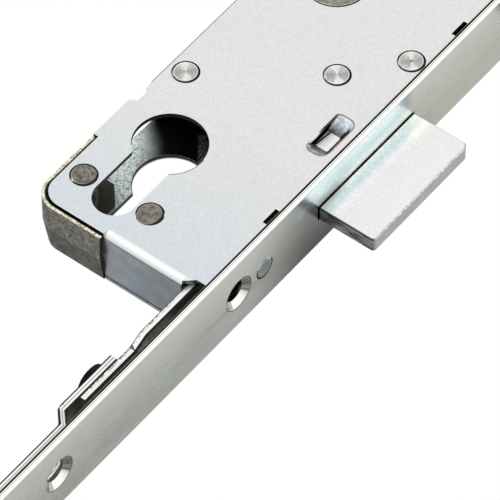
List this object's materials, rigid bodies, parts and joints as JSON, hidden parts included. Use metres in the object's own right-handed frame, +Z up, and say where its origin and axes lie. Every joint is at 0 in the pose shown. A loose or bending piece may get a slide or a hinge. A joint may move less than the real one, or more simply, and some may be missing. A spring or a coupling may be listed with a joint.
{
  "type": "multipoint door lock",
  "caption": "Long faceplate with a central lock case, thrown deadbolt, sprung latch, drive bars, swinging hook bolts and roller cams for a door edge.",
  "frame": {"origin": "axis of the euro cylinder hole, at the middle of the lock case's thickness", "axes": "+X is the throw of the bolts, out of the faceplate; +Z runs up the door edge; the riveted cover faces -Y"},
  "size_m": [0.0725, 0.022, 0.765],
  "materials": {
    "faceplate_steel": "nickel look, satin, faint lengthways streaks",
    "cover_zinc": "bright zinc plating, fine grain",
    "tray_zinc": "zinc plating, bluish",
    "raw_steel": "dark blank steel, mottled",
    "rivet_bright": "cut rivet end",
    "rivet_dark": "dark rivet end",
    "bolt_zinc": "bright zinc plating",
    "drive_zinc": "zinc plating, sheared edges",
    "dome_black": "blackened rivet",
    "hook_steel": "zinc plated hardened steel",
    "hub_zinc": "zinc die cast",
    "roller_steel": "turned, zinc plated",
    "spring_wire": "drawn spring wire"
  },
  "bodies": {
    "lock_case": {"faceplate": "faceplate_steel", "case_cover": "cover_zinc", "case_tray": "tray_zinc", "corner_bracket": "raw_steel", "corner_rivets": "rivet_dark", "roof_rivets": "rivet_bright", "spring_post": "rivet_bright", "tumbler_post": "rivet_bright", "slide_guide_post": "rivet_bright", "case_studs": "rivet_bright", "tumbler_spring": "spring_wire", "latch_spring": "spring_wire", "latch_spring_peg": "rivet_bright", "follower_spring": "spring_wire", "hook_case_upper": "tray_zinc", "hook_case_cover_upper": "cover_zinc", "hook_case_feet_upper": "raw_steel", "hook_pivot_upper": "rivet_bright", "hook_case_lower": "tray_zinc", "hook_case_cover_lower": "cover_zinc", "hook_case_feet_lower": "raw_steel", "hook_pivot_lower": "rivet_bright"},
    "deadbolt": {"deadbolt": "bolt_zinc"},
    "tumbler": {"tumbler": "drive_zinc"},
    "latch": {"latch_bolt": "bolt_zinc"},
    "follower": {"follower_hub": "hub_zinc", "follower_sector": "drive_zinc"},
    "drive": {"drive_slide": "drive_zinc", "splice_rivets": "dome_black", "drive_bar_upper": "drive_zinc", "hook_lugs_upper": "drive_zinc", "hook_drive_pin_upper": "rivet_bright", "roller_pin_upper": "rivet_bright", "drive_bar_lower": "drive_zinc", "hook_lugs_lower": "drive_zinc", "hook_drive_pin_lower": "rivet_bright", "roller_pin_lower": "rivet_bright"},
    "hook_upper": {"hook_upper": "hook_steel"},
    "hook_lower": {"hook_lower": "hook_steel"},
    "roller_upper": {"roller_upper": "roller_steel"},
    "roller_lower": {"roller_lower": "roller_steel"}
  },
  "joints": [
    {"name": "deadbolt_throw", "type": "slide", "parent": "lock_case", "child": "deadbolt", "axis": [1, 0, 0], "range_m": [-0.0156, 0]},
    {"name": "tumbler_drop", "type": "hinge", "parent": "lock_case", "child": "tumbler", "pos_m": [0.0174, 0, 0.0394], "axis": [0, -1, 0], "range_deg": [0, 11], "deforming": ["tumbler_spring"]},
    {"name": "latch_slide", "type": "slide", "parent": "lock_case", "child": "latch", "axis": [1, 0, 0], "range_m": [-0.01201, 0], "deforming": ["latch_spring"]},
    {"name": "follower_turn", "type": "hinge", "parent": "lock_case", "child": "follower", "pos_m": [0, 0, 0.062], "axis": [0, -1, 0], "range_deg": [0, 45], "stiffness_Nm_per_rad": 1, "springref_deg": -14.32, "deforming": ["follower_spring"]},
    {"name": "drive_lift", "type": "slide", "parent": "lock_case", "child": "drive", "axis": [0, 0, 1], "range_m": [0, 0.01806]},
    {"name": "hook_upper_swing", "type": "hinge", "parent": "lock_case", "child": "hook_upper", "pos_m": [0.014, 0, 0.305], "axis": [0, -1, 0], "range_deg": [0, 90]},
    {"name": "hook_lower_swing", "type": "hinge", "parent": "lock_case", "child": "hook_lower", "pos_m": [0.014, 0, -0.262], "axis": [0, -1, 0], "range_deg": [0, 90]},
    {"name": "roller_upper_spin", "type": "hinge", "parent": "drive", "child": "roller_upper", "pos_m": [0.039, 0, 0.225], "axis": [1, 0, 0], "continuous": true},
    {"name": "roller_lower_spin", "type": "hinge", "parent": "drive", "child": "roller_lower", "pos_m": [0.039, 0, -0.155], "axis": [1, 0, 0], "continuous": true}
  ],
  "couplings": [
    {"joint": "follower_turn", "follows": "drive_lift", "rad_per_m": 43.478},
    {"joint": "latch_slide", "follows": "drive_lift", "ratio": -0.6643},
    {"joint": "hook_upper_swing", "follows": "drive_lift", "rad_per_m": 86.957},
    {"joint": "hook_lower_swing", "follows": "drive_lift", "rad_per_m": 86.957}
  ]
}
